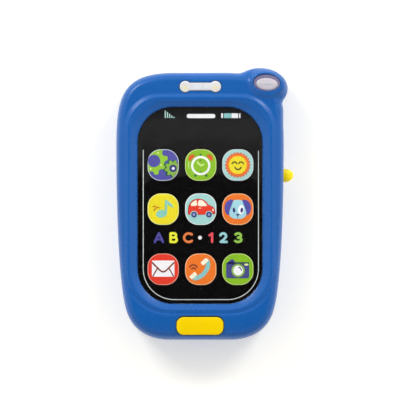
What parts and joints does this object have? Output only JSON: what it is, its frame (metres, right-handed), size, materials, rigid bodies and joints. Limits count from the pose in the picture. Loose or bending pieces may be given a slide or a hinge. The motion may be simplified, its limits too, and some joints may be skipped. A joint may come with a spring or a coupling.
{
  "type": "toy cell phone",
  "caption": "Toy phone with rounded shell, printed touch screen, sprung home button, sliding side switch, torch ear, light window, speaker and battery door.",
  "frame": {"origin": "centre of the shell, without its ear and knob, on the plane that the flat back rests on", "axes": "+Z out of the screen, +Y towards the phone's top end, +X towards the side knob"},
  "size_m": [0.0748, 0.115, 0.0234],
  "materials": {
    "shell_blue": "satin moulded",
    "yellow_plastic": "satin moulded",
    "screen_lens": "polished",
    "screen_print": "printed film",
    "circuit_board": "solder mask",
    "silicone": "matt",
    "window_white": "translucent",
    "led": "clear epoxy",
    "clear_plastic": "polished",
    "reflector": "vacuum plated",
    "black_plastic": "matt",
    "steel": "plated",
    "speaker_paper": "pressed",
    "cell_wrap": "shrink wrap",
    "brass": "plain",
    "wire_red": "pvc",
    "wire_black": "pvc",
    "pad_rubber": "matt"
  },
  "bodies": {
    "housing": {"front_cover": "shell_blue", "back_cover": "shell_blue", "screen_lens": "screen_lens", "screen_print": "screen_print", "main_board": "circuit_board", "light_window": "window_white", "led_left": "led", "led_right": "led", "torch_lens": "clear_plastic", "torch_reflector": "reflector", "torch_led": "led", "switch_body": "steel", "speaker_frame": "steel", "speaker_cone": "speaker_paper", "speaker_magnet": "steel", "sound_chip": "black_plastic", "capacitor": "black_plastic", "battery_1": "cell_wrap", "battery_2": "cell_wrap", "battery_bridge": "steel", "bridge_spring": "steel", "contact_positive": "steel", "contact_negative": "steel", "negative_spring": "steel", "door_nut": "brass", "wire_battery_red": "wire_red", "wire_battery_black": "wire_black", "wire_speaker_red": "wire_red", "wire_speaker_black": "wire_black", "touch_pad_1": "pad_rubber", "touch_pad_2": "pad_rubber", "touch_pad_3": "pad_rubber", "touch_pad_4": "pad_rubber", "touch_pad_5": "pad_rubber", "touch_pad_6": "pad_rubber", "touch_pad_7": "pad_rubber", "touch_pad_8": "pad_rubber", "touch_pad_9": "pad_rubber", "case_screw_1": "steel", "board_screw_1": "steel", "case_screw_2": "steel", "board_screw_2": "steel", "case_screw_3": "steel", "board_screw_3": "steel", "case_screw_4": "steel", "board_screw_4": "steel"},
    "home_button": {"home_button": "yellow_plastic", "home_dome": "silicone"},
    "power_knob": {"power_knob": "yellow_plastic", "switch_slider": "black_plastic"},
    "battery_door": {"battery_door": "shell_blue"},
    "door_screw": {"door_screw": "steel"}
  },
  "joints": [
    {"name": "home_button_press", "type": "slide", "parent": "housing", "child": "home_button", "axis": [0, 0, -1], "range_m": [0, 0.001], "stiffness_N_per_m": 1200, "deforming": ["home_dome"]},
    {"name": "power_switch_slide", "type": "slide", "parent": "housing", "child": "power_knob", "axis": [0, 1, 0], "range_m": [-0.0025, 0.0025]},
    {"name": "battery_door_hinge", "type": "hinge", "parent": "housing", "child": "battery_door", "pos_m": [0, -0.0398, 0], "axis": [-1, 0, 0], "range_deg": [0, 70]},
    {"name": "door_screw_turn", "type": "hinge", "parent": "battery_door", "child": "door_screw", "pos_m": [0, -0.0096, 0.003], "axis": [0, 0, 1], "continuous": true}
  ]
}
